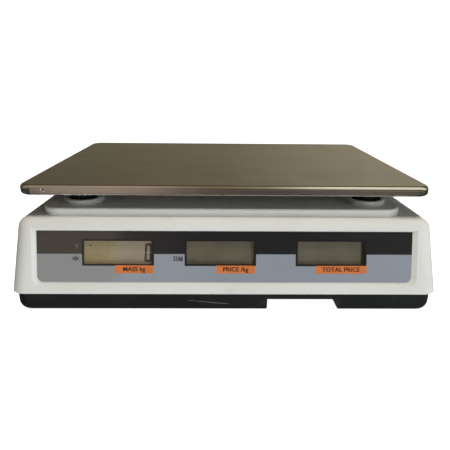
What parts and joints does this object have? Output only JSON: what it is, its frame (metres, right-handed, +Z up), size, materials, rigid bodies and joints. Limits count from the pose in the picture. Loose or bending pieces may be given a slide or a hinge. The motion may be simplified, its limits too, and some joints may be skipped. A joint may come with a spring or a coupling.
{
  "type": "price computing scale",
  "caption": "Counter scale that weighs goods on a steel platter, computes a price from a keypad and shows weight, price and total to customer and operator.",
  "frame": {"origin": "on the floor under the middle of the housing, at the bottom centre of the bounding box", "axes": "+Z up; the customer display faces -Y; the operator's keypad faces +Y; +X is the operator's left"},
  "size_m": [0.3556, 0.345, 0.11],
  "materials": {
    "housing_plastic": "fine moulded texture, off-white",
    "tray_plastic": "fine moulded texture, black",
    "stainless": "bright rolled stainless sheet with fine wear",
    "rubber": "matt black",
    "overlay_print": "semi-gloss printed film, dark band over blue-grey band",
    "window_plastic": "clear polycarbonate",
    "lcd": "reflective liquid crystal cell, olive grey",
    "circuit_board": "green solder mask",
    "component_black": "moulded black",
    "switch_red": "gloss red",
    "aluminium": "milled and cast",
    "zinc_steel": "zinc plated",
    "brass": "turned",
    "foot_plastic": "moulded black",
    "battery_case": "moulded dark grey",
    "transformer_iron": "varnished core",
    "keypad_grey": "fine texture, blue-grey",
    "silicone": "grey silicone",
    "key_white": "satin off-white",
    "key_orange": "satin orange",
    "key_blue": "satin blue",
    "vial_plastic": "clear acrylic",
    "vial_fluid": "yellow-green level fluid",
    "cable_grey": "grey sleeve",
    "lead_red": "red sleeve"
  },
  "bodies": {
    "base": {"base_tray": "tray_plastic", "top_housing": "housing_plastic", "housing_screws": "zinc_steel", "foot_inserts": "brass", "load_cell": "aluminium", "load_cell_spacer": "aluminium", "load_cell_screws": "zinc_steel", "overload_stops": "zinc_steel", "battery": "battery_case", "main_board": "circuit_board", "main_board_parts": "component_black", "transformer": "transformer_iron", "power_inlet": "component_black", "power_switch_frame": "component_black", "customer_overlay": "overlay_print", "customer_windows": "window_plastic", "customer_displays": "lcd", "customer_display_board": "circuit_board", "operator_overlay": "overlay_print", "operator_windows": "window_plastic", "operator_displays": "lcd", "operator_display_board": "circuit_board", "keypad_bezel": "keypad_grey", "keypad_mat": "silicone", "keypad_board": "circuit_board", "level_vial": "vial_plastic", "level_fluid": "vial_fluid", "load_cell_cable": "cable_grey", "display_ribbon": "cable_grey", "battery_leads": "lead_red"},
    "carrier": {"carrier_spider": "aluminium", "carrier_screws": "zinc_steel", "carrier_pads": "rubber"},
    "platter": {"platter": "stainless", "platter_studs": "stainless"},
    "battery_cover": {"battery_cover": "tray_plastic"},
    "power_switch_rocker": {"power_switch_rocker": "switch_red"},
    "foot_pad_1": {"foot_pad_1": "rubber"},
    "foot_screw_1": {"foot_screw_1": "foot_plastic"},
    "foot_pad_2": {"foot_pad_2": "rubber"},
    "foot_screw_2": {"foot_screw_2": "foot_plastic"},
    "foot_pad_3": {"foot_pad_3": "rubber"},
    "foot_screw_3": {"foot_screw_3": "foot_plastic"},
    "foot_pad_4": {"foot_pad_4": "rubber"},
    "foot_screw_4": {"foot_screw_4": "foot_plastic"},
    "key_7": {"key_7": "key_white"},
    "key_8": {"key_8": "key_white"},
    "key_9": {"key_9": "key_white"},
    "key_zero": {"key_zero": "key_blue"},
    "key_memory": {"key_memory": "key_blue"},
    "key_4": {"key_4": "key_white"},
    "key_5": {"key_5": "key_white"},
    "key_6": {"key_6": "key_white"},
    "key_tare": {"key_tare": "key_blue"},
    "key_clear": {"key_clear": "key_orange"},
    "key_1": {"key_1": "key_white"},
    "key_2": {"key_2": "key_white"},
    "key_3": {"key_3": "key_white"},
    "key_0": {"key_0": "key_white"},
    "key_point": {"key_point": "key_white"}
  },
  "joints": [
    {"name": "weighing_travel", "type": "slide", "parent": "base", "child": "carrier", "axis": [0, 0, 1], "range_m": [-0.0006, 0], "stiffness_N_per_m": 300000, "springref_m": 0.00005, "deforming": ["load_cell"]},
    {"name": "platter_lift_off", "type": "slide", "parent": "carrier", "child": "platter", "axis": [0, 0, 1], "range_m": [0, 0.03]},
    {"name": "battery_cover_hinge", "type": "hinge", "parent": "base", "child": "battery_cover", "pos_m": [-0.121, 0.02, 0.008], "axis": [1, 0, 0], "range_deg": [0, 80]},
    {"name": "power_switch", "type": "hinge", "parent": "base", "child": "power_switch_rocker", "pos_m": [-0.17342, 0.06, 0.05184], "axis": [0, 1, 0], "range_deg": [0, 16]},
    {"name": "foot_1_travel", "type": "slide", "parent": "base", "child": "foot_pad_1", "axis": [0, 0, 1], "range_m": [-0.005, 0]},
    {"name": "foot_1_turn", "type": "hinge", "parent": "foot_pad_1", "child": "foot_screw_1", "pos_m": [-0.145, -0.134, 0.01], "axis": [0, 0, 1], "range_deg": [-1440, 0]},
    {"name": "foot_2_travel", "type": "slide", "parent": "base", "child": "foot_pad_2", "axis": [0, 0, 1], "range_m": [-0.005, 0]},
    {"name": "foot_2_turn", "type": "hinge", "parent": "foot_pad_2", "child": "foot_screw_2", "pos_m": [-0.145, 0.134, 0.01], "axis": [0, 0, 1], "range_deg": [-1440, 0]},
    {"name": "foot_3_travel", "type": "slide", "parent": "base", "child": "foot_pad_3", "axis": [0, 0, 1], "range_m": [-0.005, 0]},
    {"name": "foot_3_turn", "type": "hinge", "parent": "foot_pad_3", "child": "foot_screw_3", "pos_m": [0.145, -0.134, 0.01], "axis": [0, 0, 1], "range_deg": [-1440, 0]},
    {"name": "foot_4_travel", "type": "slide", "parent": "base", "child": "foot_pad_4", "axis": [0, 0, 1], "range_m": [-0.005, 0]},
    {"name": "foot_4_turn", "type": "hinge", "parent": "foot_pad_4", "child": "foot_screw_4", "pos_m": [0.145, 0.134, 0.01], "axis": [0, 0, 1], "range_deg": [-1440, 0]},
    {"name": "key_7_press", "type": "slide", "parent": "base", "child": "key_7", "axis": [0, -0.5172, -0.8559], "range_m": [0, 0.0012], "stiffness_N_per_m": 400, "springref_m": -0.0003},
    {"name": "key_8_press", "type": "slide", "parent": "base", "child": "key_8", "axis": [0, -0.5172, -0.8559], "range_m": [0, 0.0012], "stiffness_N_per_m": 400, "springref_m": -0.0003},
    {"name": "key_9_press", "type": "slide", "parent": "base", "child": "key_9", "axis": [0, -0.5172, -0.8559], "range_m": [0, 0.0012], "stiffness_N_per_m": 400, "springref_m": -0.0003},
    {"name": "key_zero_press", "type": "slide", "parent": "base", "child": "key_zero", "axis": [0, -0.5172, -0.8559], "range_m": [0, 0.0012], "stiffness_N_per_m": 400, "springref_m": -0.0003},
    {"name": "key_memory_press", "type": "slide", "parent": "base", "child": "key_memory", "axis": [0, -0.5172, -0.8559], "range_m": [0, 0.0012], "stiffness_N_per_m": 400, "springref_m": -0.0003},
    {"name": "key_4_press", "type": "slide", "parent": "base", "child": "key_4", "axis": [0, -0.5172, -0.8559], "range_m": [0, 0.0012], "stiffness_N_per_m": 400, "springref_m": -0.0003},
    {"name": "key_5_press", "type": "slide", "parent": "base", "child": "key_5", "axis": [0, -0.5172, -0.8559], "range_m": [0, 0.0012], "stiffness_N_per_m": 400, "springref_m": -0.0003},
    {"name": "key_6_press", "type": "slide", "parent": "base", "child": "key_6", "axis": [0, -0.5172, -0.8559], "range_m": [0, 0.0012], "stiffness_N_per_m": 400, "springref_m": -0.0003},
    {"name": "key_tare_press", "type": "slide", "parent": "base", "child": "key_tare", "axis": [0, -0.5172, -0.8559], "range_m": [0, 0.0012], "stiffness_N_per_m": 400, "springref_m": -0.0003},
    {"name": "key_clear_press", "type": "slide", "parent": "base", "child": "key_clear", "axis": [0, -0.5172, -0.8559], "range_m": [0, 0.0012], "stiffness_N_per_m": 400, "springref_m": -0.0003},
    {"name": "key_1_press", "type": "slide", "parent": "base", "child": "key_1", "axis": [0, -0.5172, -0.8559], "range_m": [0, 0.0012], "stiffness_N_per_m": 400, "springref_m": -0.0003},
    {"name": "key_2_press", "type": "slide", "parent": "base", "child": "key_2", "axis": [0, -0.5172, -0.8559], "range_m": [0, 0.0012], "stiffness_N_per_m": 400, "springref_m": -0.0003},
    {"name": "key_3_press", "type": "slide", "parent": "base", "child": "key_3", "axis": [0, -0.5172, -0.8559], "range_m": [0, 0.0012], "stiffness_N_per_m": 400, "springref_m": -0.0003},
    {"name": "key_0_press", "type": "slide", "parent": "base", "child": "key_0", "axis": [0, -0.5172, -0.8559], "range_m": [0, 0.0012], "stiffness_N_per_m": 400, "springref_m": -0.0003},
    {"name": "key_point_press", "type": "slide", "parent": "base", "child": "key_point", "axis": [0, -0.5172, -0.8559], "range_m": [0, 0.0012], "stiffness_N_per_m": 400, "springref_m": -0.0003}
  ],
  "couplings": [
    {"joint": "foot_1_turn", "follows": "foot_1_travel", "rad_per_m": 5026.5},
    {"joint": "foot_2_turn", "follows": "foot_2_travel", "rad_per_m": 5026.5},
    {"joint": "foot_3_turn", "follows": "foot_3_travel", "rad_per_m": 5026.5},
    {"joint": "foot_4_turn", "follows": "foot_4_travel", "rad_per_m": 5026.5}
  ]
}
